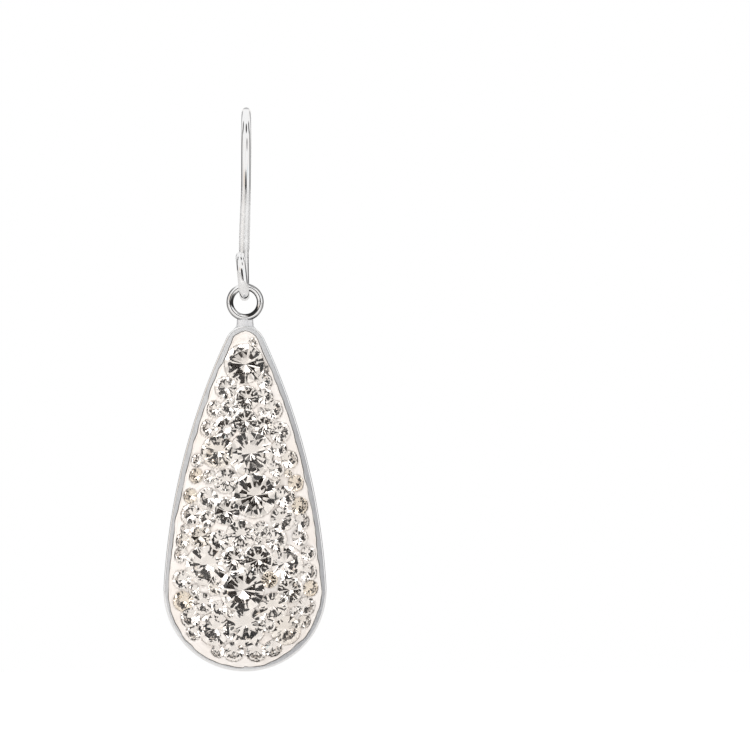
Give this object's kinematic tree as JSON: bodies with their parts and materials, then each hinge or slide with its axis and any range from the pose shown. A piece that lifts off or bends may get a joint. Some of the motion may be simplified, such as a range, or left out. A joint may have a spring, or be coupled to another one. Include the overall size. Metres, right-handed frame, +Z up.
{
  "type": "teardrop earring",
  "caption": "Drop earring: a silver teardrop cup filled with a domed, stone-paved face, whose soldered ring hangs in the loop of a wire ear hook.",
  "frame": {"origin": "inside of the ear wire's arch, where it sits in the ear", "axes": "+Z up as it hangs, -Y to the paved front, +X to the right as seen from the front"},
  "size_m": [0.013, 0.016, 0.0452],
  "materials": {
    "silver_wire": "polished",
    "silver_setting": "satin",
    "clay": "satin",
    "crystal": "gloss"
  },
  "bodies": {
    "hook": {"ear_wire": "silver_wire"},
    "drop": {"setting": "silver_setting", "paved_filling": "clay"}
  },
  "joints": [
    {"name": "drop_swing", "type": "hinge", "parent": "hook", "child": "drop", "pos_m": [0, -0.00625, -0.01365], "axis": [1, 0, 0], "range_deg": [-85, 85]}
  ]
}
